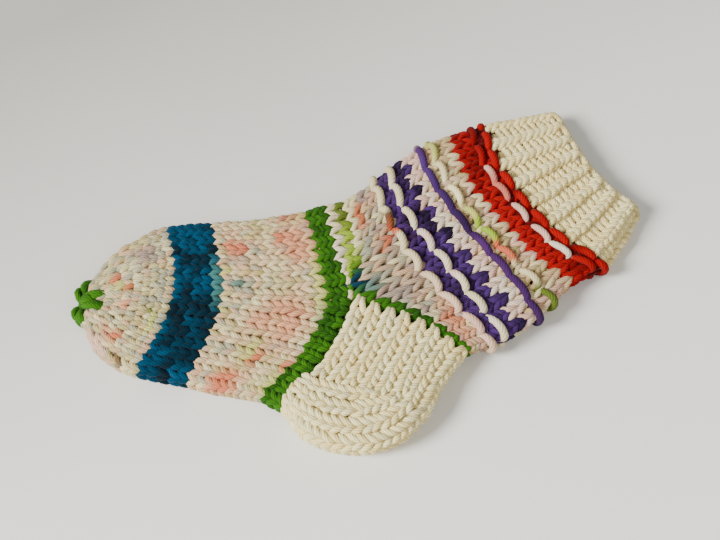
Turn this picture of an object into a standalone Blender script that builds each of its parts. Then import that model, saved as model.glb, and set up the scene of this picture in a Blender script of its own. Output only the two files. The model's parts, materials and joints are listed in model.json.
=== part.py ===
"""A hand-knitted baby sock lying flat on its side, in metres, +Z up, standing on z = 0.

+X runs from the toe to the cuff and +Y from the heel to the instep. The sock is a flattened tube of
knitting. Rows are counted along it from the ankle: 0 at the ankle, upwards along the leg to the cuff's
mouth, and downwards (negative) along the foot to the toe. Each band of one yarn is a ring of the tube,
each float strand is a ring that stands a little proud, and the heel is a flap and a turned cup.
"""

import math

import bpy
import bmesh
from mathutils import Vector

MM = 0.001

# ---- driving dimensions, in millimetres -------------------------------------------------------------
WALL = 2.4  # thickness of one layer of knitting
GAP = 0.3  # clearance between two bands
STRAND_PROUD = 0.6  # how far a float strand stands above the bands beside it
CORNER_POWER = 3.0  # roundness of the flattened section: 2 is an ellipse, higher is boxier
FLAT_SHARE = 0.05  # share of the section's full height that the table presses flat
POINTS_AROUND = 28  # facets round a ring
ROWS_PER_FACET = 2.0  # knitted rows that one facet along the tube covers
FOLD_CLEARANCE = 0.6  # height of a fold's axis above the knitting
RIBS = 16  # raised columns round the cuff, one knit and one purl stitch each
RIB_DEPTH = 0.9  # how far the purl columns lie below the knit ones
CUFF_FACETS = 3  # facets along the cuff
TURN_STEPS = 720  # steps in which the length round a row is measured

# The middle of the sock's outline, which becomes the model's origin.
OUTLINE_MIDDLE = (1.48, -3.69)

# Stations of the tube: row, height, and five points of that row from its front edge to its back edge.
STATIONS = [
    (28.0, 10.2, [(68.5, 60.5), (71.5, 50.0), (76.8, 38.0), (84.5, 27.0), (94.8, 19.0)]),
    (18.0, 11.5, [(44.4, 54.5), (48.5, 35.5), (58.0, 19.0), (69.0, 6.0), (81.5, -1.5)]),
    (14.0, 12.6, [(31.0, 50.0), (37.0, 29.5), (47.8, 12.0), (59.5, -2.0), (70.5, -8.5)]),
    (9.8, 12.6, [(17.2, 42.5), (22.0, 26.0), (32.0, 8.5), (43.5, -8.0), (54.5, -24.5)]),
    (4.6, 12.6, [(5.0, 31.5), (10.5, 12.3), (18.5, -2.5), (28.0, -15.5), (42.0, -31.5)]),
    (0.0, 12.8, [(-5.7, 22.4), (-1.2, 4.0), (-2.0, -14.6), (15.5, -22.2), (34.8, -34.2)]),
    (-2.0, 13.0, [(-11.4, 21.4), (-7.3, -1.0), (-3.1, -16.6), (-11.6, -37.5), (-24.4, -54.2)]),
    (-5.0, 12.8, [(-18.3, 19.0), (-13.0, -3.0), (-10.4, -19.5), (-18.2, -37.0), (-31.0, -50.5)]),
    (-10.0, 12.6, [(-34.0, 15.5), (-29.0, -2.0), (-27.0, -18.0), (-31.0, -34.0), (-42.0, -48.3)]),
    (-15.0, 12.6, [(-49.3, 14.3), (-45.5, -2.0), (-43.2, -15.5), (-46.5, -29.5), (-53.5, -45.8)]),
    (-20.0, 12.4, [(-64.2, 12.6), (-60.0, -2.0), (-59.3, -14.5), (-62.5, -28.0), (-69.8, -42.0)]),
    (-23.0, 12.0, [(-73.2, 8.4), (-67.6, -2.5), (-66.6, -14.5), (-69.2, -27.0), (-77.5, -38.6)]),
    (-25.5, 11.4, [(-81.4, 2.2), (-75.2, -6.0), (-73.8, -15.0), (-76.4, -25.0), (-84.4, -32.8)]),
    (-28.0, 9.6, [(-87.8, -6.8), (-82.8, -11.6), (-81.4, -16.2), (-83.2, -20.8), (-88.8, -24.2)]),
    (-30.0, 7.0, [(-91.6, -12.4), (-91.0, -14.6), (-90.8, -16.4), (-91.0, -18.2), (-91.8, -20.4)]),
]

# The heel: a flap below the back half of the ankle row, and a cup below the flap.
TOE_RIM_ROW = -28.0
TOE_TIP_ROW = -30.0
TOE_ROW_HEIGHT = 3.0  # height of a knitted row at the toe's rim
ANKLE_ROW = 0.0
GUSSET_ROW = -2.0
ANKLE_CORNER = 0.467  # the flap's corner, as a share of the way round the ankle row
GUSSET_CORNER = 0.48  # the same corner on the gusset row
FLAP_FOOT = 0.84  # where the flap ends and the cup begins, on the gusset row
FLAP_BACK_EDGE = [(34.8, -34.2), (29.8, -40.2), (25.9, -46.3), (21.8, -55.0)]
CUP_OUTLINE = [(21.8, -55.0), (12.6, -64.3), (-0.9, -67.9), (-15.4, -64.2), (-24.4, -54.2)]
CUP_START = 0.5  # the share of the flap's foot line where the cup begins to turn
HEEL_HEIGHT = 13.4
FLAP_LENGTH, FLAP_WIDTH, CUP_WIDTH = 33.0, 36.0, 16.0  # rough sizes, to turn clearances into shares
CUP_START_TRIM, CUP_END_TRIM = 0.006, 0.012  # shares of the cup's sweep left clear at its two ends
ANKLE_ROUND = 80.0  # rough length round one face of the ankle row
INSTEP_TRIM = 0.12  # rows left clear above and below the instep's short rows

# Folds: the row where the tube bends, how far the axis sits from that row's chord, and its height.
ANKLE_FOLD_ROW = 4.2
CUFF_FOLD_ROW = 18.0
ANKLE_FOLD_HEIGHT = HEEL_HEIGHT + FOLD_CLEARANCE
CUFF_FOLD_HEIGHT = 12.6 + STRAND_PROUD + FOLD_CLEARANCE
BOW_SHARE = 0.5  # the axis lies half-way between a fold row's chord and its bow

# Rings of the tube: name, first row, last row, colour, and whether it is a proud float strand.
CREAM = (0.84, 0.79, 0.66)
BLUSH = (0.80, 0.64, 0.54)
RINGS = [
    ("toe_band", -20.0, -28.0, (0.78, 0.72, 0.62), False),
    ("blue_band", -15.0, -20.0, (0.01, 0.13, 0.26), False),
    ("foot_band", -5.0, -15.0, (0.79, 0.71, 0.60), False),
    ("green_gusset_band", -2.0, -5.0, (0.12, 0.33, 0.02), False),
    ("green_ankle_row", 0.0, 1.0, (0.10, 0.28, 0.02), False),
    ("lower_leg_band", 1.0, 4.2, (0.78, 0.66, 0.56), False),
    ("lower_white_float_strand", 4.2, 5.1, (0.82, 0.75, 0.70), True),
    ("dark_purple_row", 5.1, 5.9, (0.06, 0.02, 0.10), False),
    ("upper_white_float_strand", 5.9, 6.8, (0.82, 0.75, 0.72), True),
    ("purple_band", 6.8, 8.3, (0.07, 0.03, 0.16), False),
    ("white_fleck_row", 8.3, 9.7, (0.45, 0.36, 0.42), False),
    ("purple_float_strand", 9.7, 10.8, (0.16, 0.05, 0.28), True),
    ("lime_float_strand", 10.8, 12.0, (0.62, 0.60, 0.30), True),
    ("upper_leg_band", 12.0, 14.0, BLUSH, False),
    ("red_band", 14.0, 15.8, (0.55, 0.01, 0.01), False),
    ("pink_float_strand", 15.8, 16.8, (0.72, 0.32, 0.28), True),
    ("red_float_strand", 16.8, 18.0, (0.50, 0.01, 0.01), True),
]
WOOL_ROUGHNESS = 0.9


# ---- curves -----------------------------------------------------------------------------------------
def spline(values, knots, t):
    """Smooth curve through the values at the knots, carried on straight past its ends."""
    if t <= knots[0] or t >= knots[-1]:
        a, b = (0, 1) if t <= knots[0] else (-2, -1)
        share = (t - knots[a]) / (knots[b] - knots[a])
        return values[a] + (values[b] - values[a]) * share
    i = max(k for k in range(len(knots) - 1) if knots[k] <= t)
    before, after = max(i - 1, 0), min(i + 2, len(knots) - 1)
    width = knots[i + 1] - knots[i]
    slope_in = (values[i + 1] - values[before]) * (width / (knots[i + 1] - knots[before]))
    slope_out = (values[after] - values[i]) * (width / (knots[after] - knots[i]))
    u = (t - knots[i]) / width
    start = values[i] * (2 * u**3 - 3 * u**2 + 1) + slope_in * (u**3 - 2 * u**2 + u)
    return start + values[i + 1] * (3 * u**2 - 2 * u**3) + slope_out * (u**3 - u**2)


def along(points, share):
    """Point at a share of the chord length of a smooth curve through plan points."""
    knots = [0.0]
    for a, b in zip(points, points[1:]):
        knots.append(knots[-1] + (b - a).length)
    return spline(points, knots, share * knots[-1])


def vectors(points):
    return [Vector(p) for p in points]


# The heel parts the leg's stations from the foot's, so each side has its own smooth run of rows.
LEG = sorted(station for station in STATIONS if station[0] >= ANKLE_ROW)
FOOT = sorted(station for station in STATIONS if station[0] <= GUSSET_ROW)


def read_stations(stations, row):
    """The height and the five plan points of a row among these stations."""
    rows = [station[0] for station in stations]
    height = spline([station[1] for station in stations], rows, row)
    points = [spline([Vector(station[2][i]) for station in stations], rows, row) for i in range(5)]
    return height, points


def read_row(row):
    """The height and plan points of any row. The instep's rows blend the leg's first and foot's first."""
    if row >= ANKLE_ROW:
        return read_stations(LEG, row)
    if row <= GUSSET_ROW:
        return read_stations(FOOT, row)
    share = row / GUSSET_ROW
    leg_height, leg_points = read_stations(LEG, ANKLE_ROW)
    foot_height, foot_points = read_stations(FOOT, GUSSET_ROW)
    height = leg_height + (foot_height - leg_height) * share
    return height, [a + (b - a) * share for a, b in zip(leg_points, foot_points)]


def row_curve(row):
    return read_row(row)[1]


def signed_power(x, power):
    return math.copysign(abs(x) ** power, x)


def layer_height(level, height, inset):
    """Height of a section point: level runs from -1, underneath, to 1, on top."""
    full = height / (1 - FLAT_SHARE)
    middle = full * (0.5 - FLAT_SHARE)
    return max(middle + (full / 2 - inset) * level, max(inset, 0.0))


def tube_point(row, turn, inset):
    """Point on the tube at a share of a full turn, the given distance inside its outer surface."""
    height, points = read_row(row)
    width = sum((b - a).length for a, b in zip(points, points[1:]))
    across = signed_power(math.cos(turn * math.tau), 2 / CORNER_POWER)
    level = signed_power(math.sin(turn * math.tau), 2 / CORNER_POWER)
    plan = along(points, 0.5 - across * (0.5 - inset / width))
    return Vector((plan.x, plan.y, layer_height(level, height, inset)))


def sheet_point(plan_at, share, side, height, inset):
    """Point on the heel, from its inner line (share 0) over to its rounded outer edge (share 1)."""
    width = (plan_at(1.0) - plan_at(0.0)).length
    plan = plan_at(share * (1 - inset / width))
    level = side * (1 - share**CORNER_POWER) ** (1 / CORNER_POWER)
    return Vector((plan.x, plan.y, layer_height(level, height, inset)))


def fold_axis(row, height):
    """A point on a fold's axis, and its direction: along the row's chord, moved part way into its bow."""
    points = row_curve(row)
    chord = (points[-1] - points[0]).normalized()
    middle = (points[0] + points[-1]) / 2
    bow = points[2] - middle
    bow -= chord * bow.dot(chord)
    middle += bow * BOW_SHARE
    point = Vector((middle.x - OUTLINE_MIDDLE[0], middle.y - OUTLINE_MIDDLE[1], height)) * MM
    return point, Vector((chord.x, chord.y, 0.0))


# ---- solids -----------------------------------------------------------------------------------------
def solid_from_layers(name, outer, inner, closed):
    """A wall between two grids of points. A closed grid is a ring, an open one is a bent sheet."""
    mesh = bmesh.new()
    layers = [[[mesh.verts.new(p) for p in line] for line in grid] for grid in (outer, inner)]
    lines, count = len(outer), len(outer[0])
    steps = count if closed else count - 1
    for out in layers:
        for i in range(lines - 1):
            for j in range(steps):
                k = (j + 1) % count
                mesh.faces.new((out[i][j], out[i][k], out[i + 1][k], out[i + 1][j]))
    for i in (0, lines - 1):
        for j in range(steps):
            k = (j + 1) % count
            mesh.faces.new((layers[0][i][j], layers[0][i][k], layers[1][i][k], layers[1][i][j]))
    if not closed:
        for j in (0, count - 1):
            for i in range(lines - 1):
                a, b = layers[0][i][j], layers[0][i + 1][j]
                mesh.faces.new((a, b, layers[1][i + 1][j], layers[1][i][j]))
    return finish_mesh(name, mesh)


def finish_mesh(name, mesh):
    bmesh.ops.recalc_face_normals(mesh, faces=mesh.faces)
    shift = Vector((-OUTLINE_MIDDLE[0], -OUTLINE_MIDDLE[1], 0))
    bmesh.ops.translate(mesh, verts=mesh.verts, vec=shift)
    bmesh.ops.scale(mesh, verts=mesh.verts, vec=(MM, MM, MM))
    data = bpy.data.meshes.new(name)
    mesh.to_mesh(data)
    mesh.free()
    return data


def even_turns(row, count):
    """Shares of a turn that divide the outer surface of a row into equal lengths."""
    fine = [k / TURN_STEPS for k in range(TURN_STEPS + 1)]
    points = [tube_point(row, turn, 0.0) for turn in fine]
    lengths = [0.0]
    for a, b in zip(points, points[1:]):
        lengths.append(lengths[-1] + (b - a).length)
    return [spline(fine, lengths, lengths[-1] * i / count) for i in range(count)]


def cuff_rib(name, first, last):
    """The ribbed cuff: a ring with raised knit columns and sunk purl columns."""
    start, end = first + GAP / 2 / narrowest_pitch(first), last
    rows = [start + (end - start) * i / CUFF_FACETS for i in range(CUFF_FACETS + 1)]
    outer, inner = [], []
    for row in rows:
        turns = even_turns(row, 4 * RIBS)
        sunk = [RIB_DEPTH if j % 4 > 1 else 0.0 for j in range(4 * RIBS)]
        outer.append([tube_point(row, turn, inset) for turn, inset in zip(turns, sunk)])
        inner.append([tube_point(row, turn, WALL) for turn in turns])
    return solid_from_layers(name, outer, inner, closed=True)


def narrowest_pitch(row):
    """The smallest height of a knitted row anywhere round it, in the plan."""
    side = 0.5 if row >= ANKLE_ROW else -0.5
    here, beside = row_curve(row), row_curve(row + side)
    return min((a - b).length for a, b in zip(here, beside)) / abs(side)


def ring(name, first, last, proud):
    """A ring of the tube between two rows."""
    toward = math.copysign(1.0, last - first)
    start = first + toward * GAP / 2 / narrowest_pitch(first)
    end = last - toward * GAP / 2 / narrowest_pitch(last)
    facets = max(1, math.ceil(abs(last - first) / ROWS_PER_FACET))
    rows = [start + (end - start) * i / facets for i in range(facets + 1)]
    turns = [j / POINTS_AROUND for j in range(POINTS_AROUND)]
    outer_inset = -STRAND_PROUD if proud else 0.0
    outer = [[tube_point(row, turn, outer_inset) for turn in turns] for row in rows]
    inner = [[tube_point(row, turn, WALL) for turn in turns] for row in rows]
    return solid_from_layers(name, outer, inner, closed=True)


def toe_tip(name):
    """The gathered end of the toe: a small cup, open towards the foot."""
    mesh = bmesh.new()
    turns = [j / POINTS_AROUND for j in range(POINTS_AROUND)]
    rim, tip = TOE_RIM_ROW - GAP / 2 / TOE_ROW_HEIGHT, TOE_TIP_ROW
    outer_rows = (rim, (rim + tip) / 2, tip)
    inner_rows = ((rim * 2 + tip) / 3, rim)
    loops = [[mesh.verts.new(tube_point(row, t, 0.0)) for t in turns] for row in outer_rows[::-1]]
    loops += [[mesh.verts.new(tube_point(row, t, WALL)) for t in turns] for row in inner_rows[::-1]]
    for a, b in zip(loops, loops[1:]):
        for j in range(POINTS_AROUND):
            k = (j + 1) % POINTS_AROUND
            mesh.faces.new((a[j], a[k], b[k], b[j]))
    mesh.faces.new(loops[0])
    mesh.faces.new(loops[-1])
    return finish_mesh(name, mesh)


def folded_line(plan_at, shares, inset):
    """Points from the inner line on top, over the edge, to the inner line underneath."""
    top = [sheet_point(plan_at, s, 1, HEEL_HEIGHT, inset) for s in shares]
    under = [sheet_point(plan_at, s, -1, HEEL_HEIGHT, inset) for s in reversed(shares[:-1])]
    return top + under


def edge_shares(first, count):
    """Shares from the inner line to the edge, closer together near the edge."""
    return [first + (1 - first) * (i / count) ** 0.8 for i in range(count + 1)]


def flap_plan(down):
    """Plan of one line across the flap: straight, but bent along the ankle row near the top."""
    ankle, gusset = row_curve(ANKLE_ROW), row_curve(GUSSET_ROW)
    corner = along(ankle, ANKLE_CORNER)
    to_corner = corner - along(gusset, GUSSET_CORNER)
    left = along(gusset, GUSSET_CORNER + (FLAP_FOOT - GUSSET_CORNER) * down)
    left = left + to_corner * (1 - down) ** 6
    edge = along(vectors(FLAP_BACK_EDGE), down)

    def plan_at(share):
        bent = along(ankle, ANKLE_CORNER + (1 - ANKLE_CORNER) * share)
        straight = corner + (ankle[-1] - corner) * share
        return left + (edge - left) * share + (bent - straight) * (1 - down) ** 2

    return plan_at


def cup_plan(way):
    """Plan of one line of the cup, which fans out from the flap's foot line to the sole."""
    foot_left = along(row_curve(GUSSET_ROW), FLAP_FOOT)
    foot_right = Vector(FLAP_BACK_EDGE[-1])
    inner = foot_left + (foot_right - foot_left) * (CUP_START * (1 - way))
    edge = along(vectors(CUP_OUTLINE), way)
    return lambda share: inner + (edge - inner) * share


def heel_piece(name, plan, ways, shares):
    plans = [plan(way) for way in ways]
    outer = [folded_line(plan_at, shares, 0.0) for plan_at in plans]
    inner = [folded_line(plan_at, shares, WALL) for plan_at in plans]
    return solid_from_layers(name, outer, inner, closed=False)


def heel_flap(name):
    trim = GAP / FLAP_LENGTH
    ways = [trim + (1 - 2 * trim) * i / 6 for i in range(7)]
    return heel_piece(name, flap_plan, ways, edge_shares(GAP / FLAP_WIDTH, 10))


def heel_turn(name):
    sweep = 1 - CUP_START_TRIM - CUP_END_TRIM
    ways = [CUP_START_TRIM + sweep * i / 12 for i in range(13)]
    return heel_piece(name, cup_plan, ways, edge_shares(GAP / CUP_WIDTH, 8))


def instep_rows(name):
    """The short rows between the ankle and the gusset band, which wrap round the front edge."""
    across = 1 - 2 * (ANKLE_CORNER - 2 * GAP / ANKLE_ROUND)
    reach = math.acos(across ** (CORNER_POWER / 2)) / math.tau
    turns = [-reach + 2 * reach * j / 16 for j in range(17)]
    rows = [ANKLE_ROW - INSTEP_TRIM, (ANKLE_ROW + GUSSET_ROW) / 2, GUSSET_ROW + INSTEP_TRIM]
    outer = [[tube_point(row, turn, 0.0) for turn in turns] for row in rows]
    inner = [[tube_point(row, turn, WALL) for turn in turns] for row in rows]
    return solid_from_layers(name, outer, inner, closed=False)


# ---- objects ----------------------------------------------------------------------------------------
def wool(name, colour):
    material = bpy.data.materials.new(name)
    material.use_nodes = True
    shader = material.node_tree.nodes["Principled BSDF"]
    shader.inputs["Base Color"].default_value = (*colour, 1.0)
    shader.inputs["Roughness"].default_value = WOOL_ROUGHNESS
    shader.inputs["Metallic"].default_value = 0.0
    return material


def add_piece(name, data, colour, pivot=None):
    """An object that keeps its place, with its origin on the axis that it folds about."""
    piece = bpy.data.objects.new(name, data)
    data.materials.append(wool(name, colour))
    if pivot is not None:
        data.transform(pivot.matrix_world.inverted())
        piece.parent = pivot
    bpy.context.scene.collection.objects.link(piece)
    return piece


def fold_pivot(name, row, height, parent=None):
    """An empty on a fold's axis, with its own X along the axis."""
    point, direction = fold_axis(row, height)
    pivot = bpy.data.objects.new(name, None)
    bpy.context.scene.collection.objects.link(pivot)
    pivot.rotation_euler = (0.0, 0.0, math.atan2(direction.y, direction.x))
    pivot.location = point
    if parent is not None:
        bpy.context.view_layer.update()
        pivot.parent = parent
        pivot.matrix_parent_inverse = parent.matrix_world.inverted()
    bpy.context.view_layer.update()
    return pivot


def build_sock():
    for old in list(bpy.data.objects):
        bpy.data.objects.remove(old, do_unlink=True)
    ankle_fold = fold_pivot("ankle_fold_axis", ANKLE_FOLD_ROW, ANKLE_FOLD_HEIGHT)
    cuff_fold = fold_pivot("cuff_fold_axis", CUFF_FOLD_ROW, CUFF_FOLD_HEIGHT, ankle_fold)
    add_piece("toe_tip", toe_tip("toe_tip"), (0.12, 0.36, 0.03))
    add_piece("instep_rows", instep_rows("instep_rows"), (0.55, 0.62, 0.30))
    add_piece("heel_flap", heel_flap("heel_flap"), CREAM)
    add_piece("heel_turn", heel_turn("heel_turn"), CREAM)
    for name, first, last, colour, proud in RINGS:
        pivot = ankle_fold if first >= ANKLE_FOLD_ROW else None
        add_piece(name, ring(name, first, last, proud), colour, pivot)
    mouth_row = STATIONS[0][0]
    add_piece("cuff_rib", cuff_rib("cuff_rib", CUFF_FOLD_ROW, mouth_row), CREAM, cuff_fold)


build_sock()
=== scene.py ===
"""The looks of a hand-knitted baby sock that lies flat on its side.

Every band is knitted here from real yarn: each row is one round yarn whose centreline loops through the
row beside it, and its plies and fibres are in its material. Lengths in the knitting are in millimetres,
in the frame's own axes, and become metres when a mesh is made. A place in the knitting is a row, counted
from the ankle up to the cuff and down (negative) to the toe, and q, which runs round the row from the
front edge: 0 to 1 on top and 1 to 2 back underneath.
"""

import json
import math

import bpy
import numpy as np
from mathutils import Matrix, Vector


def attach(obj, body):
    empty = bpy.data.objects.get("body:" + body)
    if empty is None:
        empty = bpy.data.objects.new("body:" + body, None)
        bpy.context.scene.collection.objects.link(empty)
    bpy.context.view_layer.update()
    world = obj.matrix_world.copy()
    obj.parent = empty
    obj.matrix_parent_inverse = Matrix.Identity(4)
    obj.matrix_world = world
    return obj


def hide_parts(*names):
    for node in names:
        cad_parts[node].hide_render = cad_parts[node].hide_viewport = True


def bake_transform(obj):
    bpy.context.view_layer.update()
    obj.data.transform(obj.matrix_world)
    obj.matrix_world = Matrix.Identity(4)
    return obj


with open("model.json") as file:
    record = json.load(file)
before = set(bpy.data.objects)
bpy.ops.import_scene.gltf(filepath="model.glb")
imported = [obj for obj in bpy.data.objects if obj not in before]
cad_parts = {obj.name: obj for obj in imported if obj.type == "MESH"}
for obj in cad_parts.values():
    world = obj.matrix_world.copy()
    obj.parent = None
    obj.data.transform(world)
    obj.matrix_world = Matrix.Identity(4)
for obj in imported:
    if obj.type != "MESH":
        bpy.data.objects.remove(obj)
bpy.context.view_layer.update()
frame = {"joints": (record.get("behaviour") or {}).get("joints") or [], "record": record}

MM = 0.001

# ---- yarn and stitch sizes, in millimetres ----------------------------------------------------------
YARN_RADIUS = 1.02
LOOP_DEPTH = 1.0  # how far a loop swings in front of and behind the fabric's middle
FABRIC_MIDDLE = YARN_RADIUS + LOOP_DEPTH  # the fabric's middle below the outer surface
STRAND_RADIUS = 1.25  # a slipped strand lies loose, so it looks thicker than a knitted stitch
LEG_YARN = 0.94  # the leg is knitted a little looser, so its yarn looks thinner
SIDES = 10  # sides of a yarn's section
SAMPLES_PER_STITCH = 22
STITCHES_A_FACE = 16  # stitches of a leg row on one face of the flattened sock
STITCHES_ROUND = 2 * STITCHES_A_FACE
FLOATS_ROUND = 16  # slipped strands round a row, two stitches long each
UNEVEN = 0.045  # hand knitting: stitches stray by about this share of a stitch
UNEVEN_ROW = UNEVEN * 1.3  # the same along the rows, in rows
UNEVEN_LIFT = 0.12  # the same in and out of the fabric
TABLE_SOFTNESS = 0.35  # how softly a yarn that meets the table is pressed up
KNIT_WIDTH, PURL_WIDTH = 0.74, 1.2  # widths of the rib's columns, in stitches
RIB_RISE, RIB_SINK = 0.85, -1.0  # knit columns of the rib stand forward, purl columns lie back
HAND = np.random.default_rng(7)  # the knitter's hand: every random draw comes from here, in order

# ---- the sock's surface -----------------------------------------------------------------------------
# The same stations as the frame's rings: row, height, and five points from front edge to back edge.
CORNER_POWER = 3.0  # roundness of the flattened section: 2 is an ellipse, higher is boxier
FLAT_SHARE = 0.05  # share of the section's full height that the table presses flat
STATIONS = [
    (28.0, 10.2, [(68.5, 60.5), (71.5, 50.0), (76.8, 38.0), (84.5, 27.0), (94.8, 19.0)]),
    (18.0, 11.5, [(44.4, 54.5), (48.5, 35.5), (58.0, 19.0), (69.0, 6.0), (81.5, -1.5)]),
    (14.0, 12.6, [(31.0, 50.0), (37.0, 29.5), (47.8, 12.0), (59.5, -2.0), (70.5, -8.5)]),
    (9.8, 12.6, [(17.2, 42.5), (22.0, 26.0), (32.0, 8.5), (43.5, -8.0), (54.5, -24.5)]),
    (4.6, 12.6, [(5.0, 31.5), (10.5, 12.3), (18.5, -2.5), (28.0, -15.5), (42.0, -31.5)]),
    (0.0, 12.8, [(-5.7, 22.4), (-1.2, 4.0), (-2.0, -14.6), (15.5, -22.2), (34.8, -34.2)]),
    (-2.0, 13.0, [(-11.4, 21.4), (-7.3, -1.0), (-3.1, -16.6), (-11.6, -37.5), (-24.4, -54.2)]),
    (-5.0, 12.8, [(-18.3, 19.0), (-13.0, -3.0), (-10.4, -19.5), (-18.2, -37.0), (-31.0, -50.5)]),
    (-10.0, 12.6, [(-34.0, 15.5), (-29.0, -2.0), (-27.0, -18.0), (-31.0, -34.0), (-42.0, -48.3)]),
    (-15.0, 12.6, [(-49.3, 14.3), (-45.5, -2.0), (-43.2, -15.5), (-46.5, -29.5), (-53.5, -45.8)]),
    (-20.0, 12.4, [(-64.2, 12.6), (-60.0, -2.0), (-59.3, -14.5), (-62.5, -28.0), (-69.8, -42.0)]),
    (-23.0, 12.0, [(-73.2, 8.4), (-67.6, -2.5), (-66.6, -14.5), (-69.2, -27.0), (-77.5, -38.6)]),
    (-25.5, 11.4, [(-81.4, 2.2), (-75.2, -6.0), (-73.8, -15.0), (-76.4, -25.0), (-84.4, -32.8)]),
    (-28.0, 9.6, [(-87.8, -6.8), (-82.8, -11.6), (-81.4, -16.2), (-83.2, -20.8), (-88.8, -24.2)]),
    (-30.0, 7.0, [(-91.6, -12.4), (-91.0, -14.6), (-90.8, -16.4), (-91.0, -18.2), (-91.8, -20.4)]),
]
CUFF_MOUTH_ROW, CUFF_FOLD_ROW, ANKLE_ROW, GUSSET_ROW = 28.0, 18.0, 0.0, -2.0
GUSSET_END_ROW, TOE_ROW, TIP_ROW, LAST_ROW = -8.5, -20.0, -28.0, -30.0
# Shares of the way round: the flap's corner on the ankle row and on the gusset row, and its lower end.
ANKLE_CORNER, GUSSET_CORNER, FLAP_FOOT = 0.467, 0.48, 0.84
FLAP_BACK_EDGE = np.array([(34.8, -34.2), (29.8, -40.2), (25.9, -46.3), (21.8, -55.0)])
CUP_OUTLINE = np.array([(21.8, -55.0), (12.6, -64.3), (-0.9, -67.9), (-15.4, -64.2), (-24.4, -54.2)])
CUP_START = 0.5  # the share of the flap's foot line where the cup begins to turn
HEEL_HEIGHT = 13.4


def spline(values, knots, where):
    """Smooth curve through values at knots, read at many places, straight on past its ends."""
    values, knots = np.asarray(values, float), np.asarray(knots, float)
    where = np.atleast_1d(np.asarray(where, float))
    count = len(knots)
    i = np.clip(np.searchsorted(knots, where, side="right") - 1, 0, count - 2)
    before, after = np.maximum(i - 1, 0), np.minimum(i + 2, count - 1)
    width = knots[i + 1] - knots[i]
    column = (slice(None),) + (None,) * (values.ndim - 1)
    slope_in = (values[i + 1] - values[before]) * (width / (knots[i + 1] - knots[before]))[column]
    slope_out = (values[after] - values[i]) * (width / (knots[after] - knots[i]))[column]
    u = ((where - knots[i]) / width)[column]
    smooth = (
        values[i] * (2 * u**3 - 3 * u**2 + 1)
        + slope_in * (u**3 - 2 * u**2 + u)
        + values[i + 1] * (3 * u**2 - 2 * u**3)
        + slope_out * (u**3 - u**2)
    )
    straight = values[i] + (values[i + 1] - values[i]) * u
    outside = ((where <= knots[0]) | (where >= knots[-1]))[column]
    return np.where(outside, straight, smooth)


def along(points, shares):
    """Points at shares of the chord length of a smooth curve."""
    points = np.asarray(points, float)
    steps = np.linalg.norm(np.diff(points, axis=0), axis=1)
    knots = np.concatenate([[0.0], np.cumsum(steps)])
    return spline(points, knots, np.asarray(shares) * knots[-1])


LEG = sorted(station for station in STATIONS if station[0] >= ANKLE_ROW)
FOOT = sorted(station for station in STATIONS if station[0] <= GUSSET_ROW)


def row_points(stations, row):
    return spline([station[2] for station in stations], [station[0] for station in stations], row)[0]


def fold_middle(row):
    """Middle of a fold's axis: half-way between a row's chord and its bow."""
    points = row_points(LEG, row)
    chord = (points[-1] - points[0]) / np.linalg.norm(points[-1] - points[0])
    middle = (points[0] + points[-1]) / 2
    bow = points[2] - middle
    return middle + (bow - chord * bow.dot(chord)) / 2


# The stations sit in the frame so that the cuff's fold lies on the frame's own joint.
JOINTS = {joint["name"]: joint for joint in frame["joints"]}
ANCHOR = np.array(JOINTS["cuff_fold"]["pos_m"][:2]) / MM - fold_middle(CUFF_FOLD_ROW)

FINE = 181  # points read round half a section before they are spaced evenly
Q_STEPS = 96  # steps of the surface tables round each face
ROW_STEP = 0.25  # rows between two lines of those tables


def layer_height(level, height, inset):
    """Height of a section point: level runs from -1, underneath, to 1, on top."""
    full = height / (1 - FLAT_SHARE)
    middle = full * (0.5 - FLAT_SHARE)
    return np.maximum(middle + (full / 2 - inset) * level, max(inset, 0.0))


def signed_power(x, power):
    return np.sign(x) * np.abs(x) ** power


def tube_half(height, points, inset, turns):
    """Points of one row's section at shares of a full turn, the given distance inside its surface."""
    width = np.linalg.norm(np.diff(points, axis=0), axis=1).sum()
    across = signed_power(np.cos(turns * math.tau), 2 / CORNER_POWER)
    level = signed_power(np.sin(turns * math.tau), 2 / CORNER_POWER)
    plan = along(points, 0.5 - across * (0.5 - inset / width))
    return np.column_stack([plan, layer_height(level, height, inset)])


def even(line, normals, count):
    """The same line with its points spaced evenly, and its length."""
    steps = np.linalg.norm(np.diff(line, axis=0), axis=1)
    lengths = np.concatenate([[0.0], np.cumsum(steps)])
    where = np.linspace(0.0, lengths[-1], count + 1)
    read = lambda grid: np.column_stack([np.interp(where, lengths, grid[:, k]) for k in range(3)])
    return read(line), read(normals), lengths[-1]


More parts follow.
